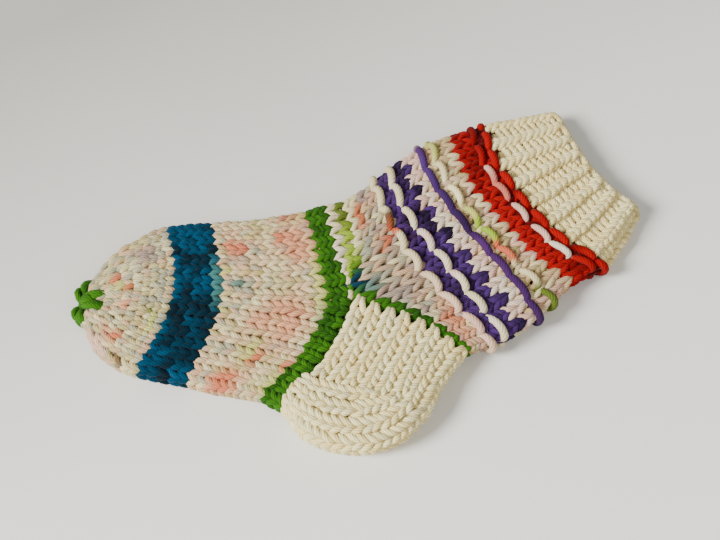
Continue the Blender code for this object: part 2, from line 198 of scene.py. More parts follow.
class Surface:
    """Middle of one stretch of fabric: rows by q, where q is 0 to 1 on top and 1 to 2 underneath."""

    def __init__(self, first, step, sections):
        self.first, self.step = first, step
        places, normals, lengths = [], [], []
        for halves in sections:
            row_places, row_normals = [], []
            for outer, middle in halves:
                out = outer - middle
                out /= np.maximum(np.linalg.norm(out, axis=1), 1e-9)[:, None]
                line, normal, length = even(middle, out, Q_STEPS)
                row_places.append(line if not row_places else line[1:])
                row_normals.append(normal if not row_normals else normal[1:])
                if len(row_places) == 1:
                    lengths.append(length)
            places.append(np.concatenate(row_places))
            normals.append(np.concatenate(row_normals))
        self.places, self.normals, self.lengths = map(np.array, (places, normals, lengths))

    def length(self, row):
        rows = self.first + self.step * np.arange(len(self.lengths))
        return float(np.interp(row, rows, self.lengths))

    def read(self, row, q):
        """Points and normals at rows and places round them, straight on past the first and last row."""
        i_real = (np.asarray(row) - self.first) / self.step
        i = np.clip(np.floor(i_real).astype(int), 0, len(self.places) - 2)
        u = (i_real - i)[:, None]
        j_real = (np.asarray(q) % 2.0) * Q_STEPS
        j = np.minimum(j_real.astype(int), 2 * Q_STEPS - 1)
        w = (j_real - j)[:, None]
        mix = lambda t: (t[i, j] * (1 - w) + t[i, j + 1] * w) * (1 - u) + (
            t[i + 1, j] * (1 - w) + t[i + 1, j + 1] * w
        ) * u
        normal = mix(self.normals)
        return mix(self.places), normal / np.linalg.norm(normal, axis=1)[:, None]


def tube_surface(stations, first, last):
    rows = np.arange(first, last + ROW_STEP / 2, ROW_STEP)
    heights = spline([s[1] for s in stations], [s[0] for s in stations], rows)
    points = spline([s[2] for s in stations], [s[0] for s in stations], rows)
    top, under = np.linspace(0.0, 0.5, FINE), np.linspace(0.5, 1.0, FINE)
    sections = []
    for height, line in zip(heights, points + ANCHOR):
        halves = []
        for turns in (top, under):
            outer = tube_half(height, line, 0.0, turns)
            halves.append((outer, tube_half(height, line, FABRIC_MIDDLE, turns)))
        sections.append(halves)
    return Surface(first, ROW_STEP, sections)


def sheet_half(plan_at, inset, angles, side):
    """Half of a heel section: from the inner line over to the rounded edge."""
    share = np.sin(angles) ** (2 / CORNER_POWER)
    level = side * np.cos(angles) ** (2 / CORNER_POWER)
    width = np.linalg.norm(plan_at(np.array([1.0])) - plan_at(np.array([0.0])))
    plan = plan_at(share * (1 - inset / width)) + ANCHOR
    return np.column_stack([plan, layer_height(level, HEEL_HEIGHT, inset)])


def heel_surface(plan, count, rows):
    """A heel surface whose table runs over the given number of knitted rows."""
    angles = np.linspace(0.0, math.pi / 2, FINE)
    sections = []
    for way in np.linspace(0.0, 1.0, count + 1):
        plan_at = plan(way)
        halves = []
        for side, order in ((1, angles), (-1, angles[::-1])):
            outer = sheet_half(plan_at, 0.0, order, side)
            halves.append((outer, sheet_half(plan_at, FABRIC_MIDDLE, order, side)))
        sections.append(halves)
    return Surface(0.0, rows / count, sections)


def flap_plan(down):
    """Plan of one line across the flap: straight, but bent along the ankle row near the top."""
    ankle, gusset = row_points(LEG, ANKLE_ROW), row_points(FOOT, GUSSET_ROW)
    corner = along(ankle, ANKLE_CORNER)[0]
    to_corner = corner - along(gusset, GUSSET_CORNER)[0]
    left = along(gusset, GUSSET_CORNER + (FLAP_FOOT - GUSSET_CORNER) * down)[0]
    left = left + to_corner * (1 - down) ** 6
    edge = along(FLAP_BACK_EDGE, down)[0]

    def plan_at(share):
        bent = along(ankle, ANKLE_CORNER + (1 - ANKLE_CORNER) * share)
        straight = corner + (ankle[-1] - corner) * share[:, None]
        return left + (edge - left) * share[:, None] + (bent - straight) * (1 - down) ** 2

    return plan_at


def cup_plan(way):
    """Plan of one line of the cup, which fans out from the flap's foot line to the sole."""
    foot_left = along(row_points(FOOT, GUSSET_ROW), FLAP_FOOT)[0]
    inner = foot_left + (FLAP_BACK_EDGE[-1] - foot_left) * (CUP_START * (1 - way))
    edge = along(CUP_OUTLINE, way)[0]
    return lambda share: inner + (edge - inner) * share[:, None]


class Instep:
    """The short rows in front of the heel, between the ankle's surface and the foot's."""

    def read(self, row, q):
        share = (np.asarray(row) / GUSSET_ROW)[:, None]
        a, normal_a = LEG_SURFACE.read(np.zeros(len(q)), q)
        face = np.where(q > 1, 2 - q, q)
        foot_q = face * GUSSET_CORNER / ANKLE_CORNER
        b, normal_b = FOOT_SURFACE.read(np.full(len(q), GUSSET_ROW), np.where(q > 1, 2 - foot_q, foot_q))
        normal = normal_a + (normal_b - normal_a) * np.clip(share, 0, 1)
        return a + (b - a) * share, normal / np.linalg.norm(normal, axis=1)[:, None]


class Tip:
    """The gathered end of the toe: from the last full row in to one point, and a little past it."""

    ROWS, BULGE, PAST = 2.6, 0.9, 1.1
    CENTRE = np.array([-90.1, -15.9, 4.6])
    TURN, OUTWARD = 0.7, np.array([-0.7, 0.0, 0.3])  # how the surface turns to face out at the centre

    def read(self, row, q):
        rim, normal = FOOT_SURFACE.read(np.full(len(q), TIP_ROW), q)
        way = np.minimum((TIP_ROW - np.asarray(row)) / self.ROWS, self.PAST)[:, None]
        share = np.clip(way, 0, 1)
        centre = self.CENTRE + np.append(ANCHOR, 0.0)
        place = rim + (centre - rim) * way + normal * self.BULGE * np.sin(math.pi * share)
        normal = normal * (1 - self.TURN * share) + self.OUTWARD * share
        return place, normal / np.linalg.norm(normal, axis=1)[:, None]


FLAP_ROWS, CUP_ROWS = 10.0, 20.0
LEG_SURFACE = tube_surface(LEG, ANKLE_ROW, CUFF_MOUTH_ROW)
FOOT_SURFACE = tube_surface(FOOT, LAST_ROW, GUSSET_ROW)
FLAP_SURFACE = heel_surface(flap_plan, 30, FLAP_ROWS)
CUP_SURFACE = heel_surface(cup_plan, 40, CUP_ROWS)
INSTEP_SURFACE = Instep()
TIP_SURFACE = Tip()

# ---- stitches ---------------------------------------------------------------------------------------
# Half of a knit loop from the sinker to the head: across in stitches, along in rows, and swing, where
# 1 is fully in front of the fabric and -1 fully behind it.
HALF_LOOP = [
    (-0.50, -0.62, -1.00),
    (-0.26, -0.74, -0.80),
    (-0.115, -0.46, 0.05),
    (-0.155, -0.02, 0.95),
    (-0.27, 0.40, 0.95),
    (-0.345, 0.76, 0.05),
    (-0.20, 1.04, -0.85),
    (0.00, 1.12, -1.05),
]
# One slipped strand over two stitches: along the row in strands, towards the cuff in rows, and height
# above the fabric's middle in millimetres.
FLOAT_STRAND = [
    (0.02, -0.34, -0.9),
    (0.10, -0.14, 0.5),
    (0.26, 0.12, 2.1),
    (0.52, 0.24, 2.5),
    (0.76, 0.12, 2.2),
    (0.91, -0.14, 1.2),
    (0.97, -0.38, -0.1),
    (0.98, -0.44, -0.95),
]
# The same for a strand that lies in a nearly straight rope.
ROPE_STRAND = [
    (0.00, -0.10, 1.1),
    (0.14, 0.04, 1.9),
    (0.38, 0.10, 2.4),
    (0.64, 0.08, 2.4),
    (0.88, -0.02, 1.9),
]


def template(points, samples):
    """Even samples of one repeat of a looping line, whose next repeat is one stitch or strand along."""
    before = [(x - 1.0, y, z) for x, y, z in points[-3:]]
    after = [(x + 1.0, y, z) for x, y, z in points[:4]]
    line = np.array(before + points + after, float)
    steps = np.linalg.norm(np.diff(line, axis=0), axis=1)
    knots = np.concatenate([[0.0], np.cumsum(steps)])
    start, end = knots[3], knots[3 + len(points)]
    return spline(line, knots, start + (end - start) * np.arange(samples) / samples)


def full_loop():
    """The half loop and its mirror image."""
    mirrored = [(-x, y, z) for x, y, z in reversed(HALF_LOOP[1:-1])]
    return HALF_LOOP + mirrored


LOOP = template(full_loop(), SAMPLES_PER_STITCH)
STRAND = template(FLOAT_STRAND, 2 * SAMPLES_PER_STITCH)
ROPE = template(ROPE_STRAND, 2 * SAMPLES_PER_STITCH)


class Path:
    """A yarn's centreline with its dye and its thickness."""

    def __init__(self, places, dye, closed, size=None):
        self.places, self.dye, self.closed = places, dye, closed
        self.size = np.ones(len(places)) if size is None else size


def rest_on_table(places, radius=YARN_RADIUS):
    """Presses the places of a yarn up until it lies on the table, softly."""
    above = (places[:, 2] - radius) / TABLE_SOFTNESS
    places[:, 2] = radius + TABLE_SOFTNESS * np.logaddexp(0.0, above)
    return places


def stray(count, samples, amount):
    """A small offset for each stitch, the same for all its samples."""
    return np.repeat(HAND.normal(0.0, amount, count), samples)


def knit_row(surface, row, edges, closed, dye, toward=-1.0, height=1.0, ribbed=False, rise=0.0):
    """One knitted row: a loop between each pair of edges, whose heads point towards later rows."""
    edges = np.asarray(edges, float)
    centre, width = (edges[:-1] + edges[1:]) / 2, np.diff(edges)
    count = len(centre)
    purl = np.arange(count) % 2 == 1 if ribbed else np.zeros(count, bool)
    narrow = np.where(purl, PURL_WIDTH, KNIT_WIDTH) if ribbed else np.ones(count)
    q = (centre[:, None] + LOOP[None, :, 0] * (width * narrow)[:, None]).ravel()
    q += stray(count, len(LOOP), UNEVEN) * np.repeat(width, len(LOOP))
    rows = np.tile(row + toward * LOOP[:, 1] * height, count) + stray(count, len(LOOP), UNEVEN_ROW)
    sign = np.where(purl, -1.0, 1.0)
    rise = np.where(purl, RIB_SINK, RIB_RISE) if ribbed else np.full(count, rise)
    lift = (sign[:, None] * LOOP[None, :, 2] * LOOP_DEPTH + rise[:, None]).ravel()
    lift += stray(count, len(LOOP), UNEVEN_LIFT)
    places, normals = surface.read(rows, q)
    places = rest_on_table(places + normals * lift[:, None])
    return Path(places, dye(np.full(len(q), float(row)), q), closed)


def float_row(row, dye, shift=0.0, reach=1.0, lift=1.0, strand=STRAND):
    """The slipped strands of one leg row, as one yarn that dips behind the fabric between them."""
    count = FLOATS_ROUND
    start = np.arange(count)
    q = ((start[:, None] + shift + strand[None, :, 0]) * 2.0 / count).ravel()
    q += stray(count, len(strand), UNEVEN) * 2.0 / count
    rows = np.tile(row + strand[:, 1] * reach, count) + stray(count, len(strand), UNEVEN)
    height = np.tile(strand[:, 2] * lift, count)
    places, normals = LEG_SURFACE.read(rows, q)
    places = rest_on_table(places + normals * height[:, None], STRAND_RADIUS)
    # The strand is pulled thin where it dips into the fabric, and is full where it lies on top.
    size = np.interp(height, [-0.5, 2.2], [0.72, 1.06]) * STRAND_RADIUS / YARN_RADIUS
    return Path(places, dye(rows, q), True, size)


def knit_wale(surface, first_edge, last_edge, count, rows, dye):
    """A column of separate loops, for where neighbouring columns have different numbers of them."""
    height = rows / count
    line = np.concatenate([LOOP, LOOP[:1] + (1.0, 0.0, 0.0)])
    middle, width = (first_edge + last_edge) / 2, last_edge - first_edge
    for i in range(count):
        q = middle + line[:, 0] * width + HAND.normal(0.0, UNEVEN) * width
        row = (i + 0.5) * height + line[:, 1] * height + HAND.normal(0.0, UNEVEN) * height
        places, normals = surface.read(row, q)
        places = rest_on_table(places + normals * (line[:, 2] * LOOP_DEPTH)[:, None])
        yield Path(places, dye(row, q), False)


HALF_FACE = STITCHES_A_FACE // 2
WIDEST_STITCH = 1.4  # the stitch at the middle takes up what is left, up to this many pitches


def leg_edges():
    return np.arange(STITCHES_ROUND + 1) / STITCHES_A_FACE


def half_edges(length, count, pitch, share):
    """Edges on one side of the face, counted from its fold: even, or at one pitch up to the middle."""
    if pitch is None:
        return share * np.arange(count + 1) / count
    edges = [0.0]
    while edges[-1] + WIDEST_STITCH * pitch / length < share:
        edges.append(edges[-1] + pitch / length)
    return np.array(edges + [share])


def foot_edges(row):
    """Where the stitches of a foot row meet: more at the gusset, eight a side, then fewer at the toe."""
    length = FOOT_SURFACE.length(row)
    front_share = float(np.interp(row, [-10.0, GUSSET_ROW], [0.5, GUSSET_CORNER]))
    toe_pitch = FOOT_SURFACE.length(TOE_ROW) * 0.5 / HALF_FACE
    gusset_pitch = FOOT_SURFACE.length(GUSSET_END_ROW) * 0.5 / HALF_FACE
    front_pitch = toe_pitch if row < TOE_ROW else None
    back_pitch = toe_pitch if row < TOE_ROW else gusset_pitch if row > GUSSET_END_ROW else None
    front = half_edges(length, HALF_FACE, front_pitch, front_share)
    back = 1 - half_edges(length, HALF_FACE, back_pitch, 1 - front_share)[::-1]
    face = np.concatenate([front, back[1:]])
    return np.concatenate([face, 2 - face[-2::-1]])


# ---- yarn into mesh ---------------------------------------------------------------------------------
def yarn_frames(places, closed):
    """Two directions across the yarn at each point, turning as little as they can."""
    if closed:
        ahead, behind = np.roll(places, -1, axis=0), np.roll(places, 1, axis=0)
    else:
        ahead = np.concatenate([places[1:], places[-1:]])
        behind = np.concatenate([places[:1], places[:-1]])
    tangent = ahead - behind
    tangent /= np.maximum(np.linalg.norm(tangent, axis=1), 1e-9)[:, None]
    side = np.cross(tangent[0], (0.0, 0.0, 1.0))
    if np.linalg.norm(side) < 0.1:
        side = np.cross(tangent[0], (1.0, 0.0, 0.0))
    sides = np.empty_like(places)
    for i, t in enumerate(tangent):
        side = side - t * side.dot(t)
        side /= math.sqrt(side.dot(side))
        sides[i] = side
    return tangent, sides, np.cross(tangent, sides)


PLY_LINES = 6  # grooves between plies that a cut across the yarn meets
PLY_SPACING = 1.2  # distance between those grooves along the yarn
UV_MARGIN = 0.02  # share of a yarn's strip of the UV map left clear at each side


class YarnMesh:
    """Gathers swept yarns, then makes one mesh of them."""

    def __init__(self):
        self.places, self.dye, self.faces, self.caps, self.yarn, self.uv = [], [], [], [], [], []
        self.count = 0
        self.paths = 0

    def add(self, path, radius=YARN_RADIUS):
        places, number = path.places, len(path.places)
        tangent, across, up = yarn_frames(places, path.closed)
        ends = np.concatenate([places, places[:1]]) if path.closed else places
        lengths = np.concatenate([[0.0], np.cumsum(np.linalg.norm(np.diff(ends, axis=0), axis=1))])
        spin = np.zeros(number)
        if path.closed:  # the frame comes back turned, so the section turns the same amount on the way
            error = math.atan2(across[-1].dot(up[0]), across[-1].dot(across[0]))
            spin = -error * lengths[:-1] / lengths[-1]
        angle = np.arange(SIDES) * math.tau / SIDES
        phase = angle[None, :] + spin[:, None]
        size = (radius * path.size)[:, None]
        rings = (
            places[:, None, :]
            + across[:, None, :] * (np.cos(phase) * size)[..., None]
            + up[:, None, :] * (np.sin(phase) * size)[..., None]
        )
        segments = number if path.closed else number - 1
        i, j = np.arange(segments)[:, None], np.arange(SIDES)[None, :]
        here, there = self.count + i * SIDES, self.count + (i + 1) % number * SIDES
        left, right = j + 0 * i, (j + 1) % SIDES + 0 * i
        quads = np.stack([here + left, here + right, there + right, there + left], -1)
        self.faces.append(quads.reshape(-1, 4))
        if not path.closed:
            end = self.count + (number - 1) * SIDES
            self.caps.append(list(range(self.count + SIDES - 1, self.count - 1, -1)))
            self.caps.append(list(range(end, end + SIDES)))
        self.places.append(rings.reshape(-1, 3))
        self.dye.append(np.repeat(path.dye, SIDES, axis=0))
        # Where each corner is on the yarn: length along it, share of a turn round it, and which yarn.
        low, high = lengths[:segments, None] + 0.0 * j, lengths[1 : segments + 1, None] + 0.0 * j
        side, next_side = (j + 0.0 * i) / SIDES, (j + 1.0 + 0.0 * i) / SIDES
        yarn = np.stack([low, side, low, next_side, high, next_side, high, side], -1).reshape(-1, 2)
        whole = round(lengths[-1] / PLY_SPACING) * PLY_SPACING  # so that the plies meet where it closes
        which = np.full(len(yarn), self.paths)
        self.yarn.append(np.column_stack([yarn[:, 0] * whole / lengths[-1], yarn[:, 1], which]))
        strip = self.paths + UV_MARGIN + (1 - 2 * UV_MARGIN) * yarn[:, 1]
        self.uv.append(np.column_stack([yarn[:, 0] / lengths[-1], strip]))
        self.count += number * SIDES
        self.paths += 1

    def build(self, name, material):
        quads = np.concatenate(self.faces)
        cap_corners = [corner for cap in self.caps for corner in cap]
        corners = np.concatenate([quads.ravel(), cap_corners]).astype(np.int32)
        sizes = np.array([4] * len(quads) + [len(cap) for cap in self.caps], np.int32)
        starts = np.concatenate([[0], np.cumsum(sizes)[:-1]]).astype(np.int32)
        mesh = bpy.data.meshes.new(name)
        mesh.vertices.add(self.count)
        mesh.vertices.foreach_set("co", (np.concatenate(self.places) * MM).astype(np.float32).ravel())
        mesh.loops.add(len(corners))
        mesh.loops.foreach_set("vertex_index", corners)
        mesh.polygons.add(len(sizes))
        mesh.polygons.foreach_set("loop_start", starts)
        mesh.polygons.foreach_set("loop_total", sizes)
        mesh.update(calc_edges=True)
        yarn = np.zeros((len(corners), 3), np.float32)
        yarn[: 4 * len(quads)] = np.concatenate(self.yarn)
        mesh.attributes.new("yarn", "FLOAT_VECTOR", "CORNER").data.foreach_set("vector", yarn.ravel())
        dye = np.column_stack([np.concatenate(self.dye), np.ones(self.count)]).astype(np.float32)
        mesh.attributes.new("dye", "FLOAT_COLOR", "POINT").data.foreach_set("color", dye.ravel())
        uv = np.zeros((len(corners), 2), np.float32)
        uv[: 4 * len(quads)] = np.concatenate(self.uv)
        uv[:, 1] /= self.paths
        mesh.uv_layers.new(name="OFBake").data.foreach_set("uv", uv.ravel())
        mesh.shade_smooth()
        mesh.materials.append(material)
        piece = bpy.data.objects.new(name, mesh)
        bpy.context.scene.collection.objects.link(piece)
        return piece


# ---- dye --------------------------------------------------------------------------------------------
def linear(red, green, blue):
    """A display colour, 0 to 255, as the linear colour that a shader takes."""
    convert = lambda c: c / 12.92 if c <= 0.04045 else ((c + 0.055) / 1.055) ** 2.4
    return np.array([convert(c / 255) for c in (red, green, blue)])


CREAM, WARM_CREAM, WHITE = linear(250, 237, 178), linear(240, 217, 148), linear(226, 210, 188)
IVORY, BLUSH, OATMEAL = linear(220, 206, 156), linear(206, 166, 128), linear(186, 170, 114)
PEACH, CORAL, ORANGE = linear(214, 146, 108), linear(200, 102, 70), linear(190, 94, 52)
LIME, BRIGHT_LIME, OLIVE = linear(188, 188, 100), linear(150, 176, 48), linear(92, 108, 34)
GREEN, DEEP_GREEN = linear(56, 110, 12), linear(32, 76, 6)
TEAL, PALE_TEAL = linear(20, 58, 74), linear(66, 118, 112)
BLUE, DEEP_BLUE, BRIGHT_BLUE = linear(0, 44, 62), linear(0, 22, 32), linear(0, 66, 94)
GREY, LILAC, BROWN = linear(160, 158, 134), linear(150, 128, 122), linear(96, 68, 44)
VIOLET, PURPLE, DEEP_PURPLE = linear(74, 38, 92), linear(46, 23, 62), linear(25, 12, 38)
PLUM, BRIGHT_VIOLET = linear(56, 27, 58), linear(74, 44, 104)
RED, DEEP_RED = linear(160, 5, 3), linear(88, 2, 2)
PINK, PALE_PINK, RUST = linear(196, 108, 90), linear(218, 176, 154), linear(150, 74, 44)
SPOT_PEAK, SPOT_EDGE, SPOT_MOST = 1.35, 0.2, 0.85  # how a spot's dye fades out, and its greatest share


def blended(colours, steps):
    """Dye that wanders at random between colours, changing about once in so many stitches."""
    colours = np.array(colours)

    def dye(row, q):
        knots = int(STITCHES_ROUND / steps)
        values = HAND.uniform(0.0, len(colours) - 1, knots)
        at = (q % 2.0) / 2.0 * (knots - 1)
        where = np.interp(at, np.arange(knots), values)
        return np.column_stack([np.interp(where, np.arange(len(colours)), colours[:, k]) for k in range(3)])

    return dye


def by_place(stops):
    """Dye that changes round the row: pairs of a place q, from 0 to 2, and a colour."""
    places = [place for place, colour in stops]
    colours = np.array([colour for place, colour in stops])
    return lambda row, q: np.column_stack([np.interp(q % 2.0, places, colours[:, k]) for k in range(3)])


def spotted(base, spots):
    """Dye with soft spots: each is a row, a place q, a colour, and a reach in rows and in stitches."""

    def dye(row, q):
        colour = base(row, q)
        for spot_row, spot_q, spot_colour, rows, stitches in spots:
            across = (q % 2.0 - spot_q) * STITCHES_A_FACE / stitches
            away = ((row - spot_row) / rows) ** 2 + across**2
            share = np.clip(SPOT_PEAK * np.exp(-away) - SPOT_EDGE, 0.0, SPOT_MOST)[:, None]
            colour = colour * (1 - share) + spot_colour * share
        return colour

    return dye


def strewn(first_row, last_row, count, colours):
    """Spots strewn over the underside, where no picture says how the dye fell."""
    return [
        (HAND.uniform(first_row, last_row), HAND.uniform(1.03, 1.97), colours[k % len(colours)], 0.9, 1.0)
        for k in range(count)
    ]


# ---- wool -------------------------------------------------------------------------------------------
PLY_GROOVE_SHADE = 0.66  # painted shade: how much darker the dye is painted between two plies, where shade falls
FIBRE_HEIGHT = 0.6  # height of the fibres beside that of a ply
PATCH_LENGTH = 9.0  # length of yarn over which the tone drifts
BUMP_STRENGTH, BUMP_DISTANCE = 0.7, 0.00035  # the distance is in metres
SHEEN, SHEEN_ROUGHNESS, SPECULAR = 0.04, 0.5, 0.08


def wool(name):
    """Plied wool: the yarn's own dye with painted shade between its plies, and fibres that run along them."""
    material = bpy.data.materials.new(name)
    material.use_nodes = True
    nodes, links = material.node_tree.nodes, material.node_tree.links
    shader = nodes["Principled BSDF"]

    def calculate(operation, *values):
        node = nodes.new("ShaderNodeMath")
        node.operation = operation
        for socket, value in zip(node.inputs, values):
            if isinstance(value, (int, float)):
                socket.default_value = value
            else:
                links.new(value, socket)
        return node.outputs[0]

    def remap(value, *ranges):
        node = nodes.new("ShaderNodeMapRange")
        links.new(value, node.inputs["Value"])
        for label, limit in zip(("From Min", "From Max", "To Min", "To Max"), ranges):
            node.inputs[label].default_value = limit
        return node.outputs["Result"]

    def noise(vector, detail, roughness=0.5):
        node = nodes.new("ShaderNodeTexNoise")
        links.new(vector, node.inputs["Vector"])
        node.inputs["Scale"].default_value = 1.0
        node.inputs["Detail"].default_value = detail
        node.inputs["Roughness"].default_value = roughness
        return node.outputs["Fac"]

    def vector(x, y, z):
        node = nodes.new("ShaderNodeCombineXYZ")
        for socket, value in zip(node.inputs, (x, y, z)):
            links.new(value, socket)
        return node.outputs[0]

    dye, yarn = nodes.new("ShaderNodeAttribute"), nodes.new("ShaderNodeAttribute")
    split = nodes.new("ShaderNodeSeparateXYZ")
    dye.attribute_name, yarn.attribute_name = "dye", "yarn"
    links.new(yarn.outputs["Vector"], split.inputs[0])
    length, side, number = split.outputs
    lines_round = calculate("MULTIPLY", side, float(PLY_LINES))
    ply = calculate("SUBTRACT", lines_round, calculate("DIVIDE", length, PLY_SPACING))
    ridge = calculate("PINGPONG", ply, 0.5)  # 0 in the groove between two plies, 0.5 on top of one
    across, onward = calculate("MULTIPLY", ply, 3.0), calculate("MULTIPLY", length, 0.5)
    fibres = noise(vector(across, onward, number), 3.0, 0.6)
    patches = noise(vector(calculate("DIVIDE", length, PATCH_LENGTH), number, number), 1.0)

    # painted shade: the dye is darkened in the grooves between the plies, where shade would fall; the fibre
    # tone varies at random
    painted_groove_tone, fibre_tone = remap(ridge, 0.0, 0.3, PLY_GROOVE_SHADE, 1.0), remap(fibres, 0.3, 0.7, 0.84, 1.12)
    tone = calculate("MULTIPLY", painted_groove_tone, fibre_tone)
    tone = calculate("MULTIPLY", tone, remap(patches, 0.3, 0.7, 0.9, 1.06))
    colour = nodes.new("ShaderNodeVectorMath")
    colour.operation = "SCALE"
    links.new(dye.outputs["Color"], colour.inputs[0])
    links.new(tone, colour.inputs["Scale"])
    links.new(colour.outputs[0], shader.inputs["Base Color"])
    links.new(remap(fibres, 0.2, 0.8, 0.95, 0.75), shader.inputs["Roughness"])
    height = calculate("ADD", calculate("SQRT", ridge), calculate("MULTIPLY", fibres, FIBRE_HEIGHT))
    bump = nodes.new("ShaderNodeBump")
    bump.inputs["Strength"].default_value = BUMP_STRENGTH
    bump.inputs["Distance"].default_value = BUMP_DISTANCE
    links.new(height, bump.inputs["Height"])
    links.new(bump.outputs["Normal"], shader.inputs["Normal"])
    shader.inputs["Sheen Weight"].default_value = SHEEN
    shader.inputs["Sheen Roughness"].default_value = SHEEN_ROUGHNESS
    shader.inputs["Specular IOR Level"].default_value = SPECULAR
    return material


# ---- pieces -----------------------------------------------------------------------------------------
SLOT_OF = {entry["node"]: entry["material_slot"] for entry in frame["record"]["subparts"]}
WOOL = {slot: wool(slot) for slot in sorted(set(SLOT_OF.values()))}
PIECES = {}


def knitted(node, paths, radius=YARN_RADIUS):
    yarns = YarnMesh()
    for path in paths:
        yarns.add(path, radius)
    PIECES[node] = yarns.build("knitted_" + node, WOOL[SLOT_OF[node]])


def leg_rows(rows, dye, height=1.0, ribbed=False):
    edges = leg_edges()
    return [knit_row(LEG_SURFACE, row, edges, True, dye, height=height, ribbed=ribbed) for row in rows]


def foot_rows(rows, dye):
    return [knit_row(FOOT_SURFACE, row, foot_edges(row), True, dye) for row in rows]


HAND_DYED = blended([IVORY, BLUSH, OATMEAL, IVORY, BLUSH, IVORY, GREY, BLUSH, LIME], 1.1)
TOE_DYED = blended([GREY, IVORY, OATMEAL, GREY, OATMEAL, BLUSH, GREY, IVORY, LIME], 1.1)
HEATHER = blended([IVORY, GREY, BLUSH, GREY, IVORY, LILAC, BLUSH, OATMEAL], 1.1)
ROSE = blended([BLUSH, PALE_PINK, IVORY, BLUSH, OATMEAL, BLUSH], 1.3)


def cuff_rib():
    cream = blended([CREAM, WARM_CREAM, CREAM], 2.0)
    knitted("cuff_rib", leg_rows(np.arange(CUFF_FOLD_ROW + 0.5, CUFF_MOUTH_ROW), cream, ribbed=True))


def leg_bands():
    knitted("red_band", leg_rows([14.5, 15.45], blended([RED, RED, DEEP_RED], 2.0), 0.97)
            + leg_rows([16.35, 17.2], blended([DEEP_RED, DEEP_RED, RED], 2.0), 0.97))
    knitted("upper_leg_band", leg_rows([10.85, 11.8, 12.7, 13.6], ROSE), LEG_YARN)
    flecks = blended([WHITE, PALE_PINK, WHITE, IVORY], 1.5)
    dark = blended([PURPLE, DEEP_PURPLE, BRIGHT_VIOLET], 1.5)

    def by_turns(row, q):
        odd = (np.floor(q * STITCHES_A_FACE).astype(int) % 2 == 1)[:, None]
        return np.where(odd, dark(row, q), flecks(row, q))

    knitted("white_fleck_row", leg_rows([9.0], by_turns) + leg_rows([9.95], flecks))
    purple = blended([DEEP_PURPLE, PURPLE, BRIGHT_VIOLET, PURPLE], 1.2)
    knitted("purple_band", leg_rows([6.35, 7.25, 8.15], purple, 0.94))
    knitted("dark_purple_row", leg_rows([5.4], blended([PLUM, PURPLE, BRIGHT_VIOLET, PLUM], 1.5), 0.95))
    spots = [(1.5, 0.14, ORANGE, 0.7, 1.1), (3.5, 0.35, ORANGE, 0.5, 0.6), (1.0, 0.32, GREY, 1.2, 1.2),
             (2.3, 0.58, LILAC, 1.2, 1.0), (1.4, 0.50, PALE_TEAL, 0.4, 0.5), (3.0, 0.82, ORANGE, 0.9, 0.9),
             (2.4, 0.88, PEACH, 1.3, 1.4)]
    heather = spotted(HEATHER, spots + strewn(1, 4, 5, [ORANGE, LILAC, PEACH]))
    knitted("lower_leg_band", leg_rows([1.5, 2.5, 3.5, 4.45], heather), LEG_YARN)
    ankle = by_place([(0.0, IVORY), (0.27, IVORY), (0.31, BRIGHT_LIME), (0.38, GREEN), (0.42, TEAL),
                      (0.47, TEAL), (0.49, GREEN), (0.75, DEEP_GREEN), (1.0, GREEN), (1.5, DEEP_GREEN),
                      (1.56, IVORY), (2.0, IVORY)])
    knitted("green_ankle_row", leg_rows([0.5], ankle))


def strands():
    red = blended([RED, RED, DEEP_RED], 1.0)
    knitted("red_float_strand", [float_row(17.15, red, shift=0.5, reach=0.8)])
    pink = by_place([(0.0, DEEP_RED), (0.26, RED), (0.27, PALE_PINK), (0.37, PINK), (0.49, PINK),
                     (0.51, PALE_PINK), (0.74, PALE_PINK), (0.76, WHITE), (0.87, WHITE), (0.885, RED),
                     (1.12, DEEP_RED), (1.14, PINK), (1.6, PALE_PINK), (1.85, PINK), (1.88, RED),
                     (2.0, DEEP_RED)])
    knitted("pink_float_strand", [float_row(15.95, pink, reach=0.8, lift=0.95)], 0.9)
    lime = by_place([(0.0, LIME), (0.12, LIME), (0.16, IVORY), (0.38, CREAM), (0.42, LIME), (0.49, LIME),
                     (0.51, BRIGHT_LIME), (0.62, BRIGHT_LIME), (0.64, CORAL), (0.74, CORAL), (0.76, IVORY),
                     (0.87, IVORY), (0.9, OLIVE), (1.1, OLIVE), (1.3, CREAM), (1.6, LIME), (2.0, LIME)])
    knitted("lime_float_strand", [float_row(11.75, lime, shift=0.25, reach=0.9)], 0.92)
    violet = by_place([(0.0, LILAC), (0.05, VIOLET), (0.12, BRIGHT_VIOLET), (0.5, PURPLE), (0.6, VIOLET),
                       (1.2, PURPLE), (1.7, VIOLET), (2.0, LILAC)])
    rope = float_row(10.65, violet, shift=0.3, reach=0.8, strand=ROPE)
    knitted("purple_float_strand", [rope], 1.02)
    white = blended([WHITE, IVORY, WHITE, PALE_PINK], 1.0)
    knitted("upper_white_float_strand", [float_row(6.4, white)])
    brown = by_place([(0.0, IVORY), (0.235, IVORY), (0.26, BROWN), (0.3, RUST), (0.355, CORAL),
                      (0.37, IVORY), (0.9, PALE_PINK), (1.2, IVORY), (2.0, IVORY)])
    knitted("lower_white_float_strand", [float_row(4.25, brown, shift=0.5)])


def heel():
    cream = blended([CREAM, WARM_CREAM, CREAM, IVORY], 1.5)
    edges = np.linspace(0.02, 1.98, STITCHES_A_FACE + 1)
    knitted("heel_flap", [knit_row(FLAP_SURFACE, row, edges, False, cream, toward=1.0, height=0.96)
                          for row in np.arange(0.6, 10.2, 0.98)])
    counts = (8, 12, 15, 18)  # stitches in each column of the cup, from its inside to its edge
    wales = np.linspace(0.0, 1.0, len(counts) + 1)
    paths = []
    for inner, outer, count in zip(wales, wales[1:], counts):
        for first, last in ((inner, outer), (2 - outer, 2 - inner)):
            paths += knit_wale(CUP_SURFACE, first, last, count, CUP_ROWS, cream)
    knitted("heel_turn", paths)


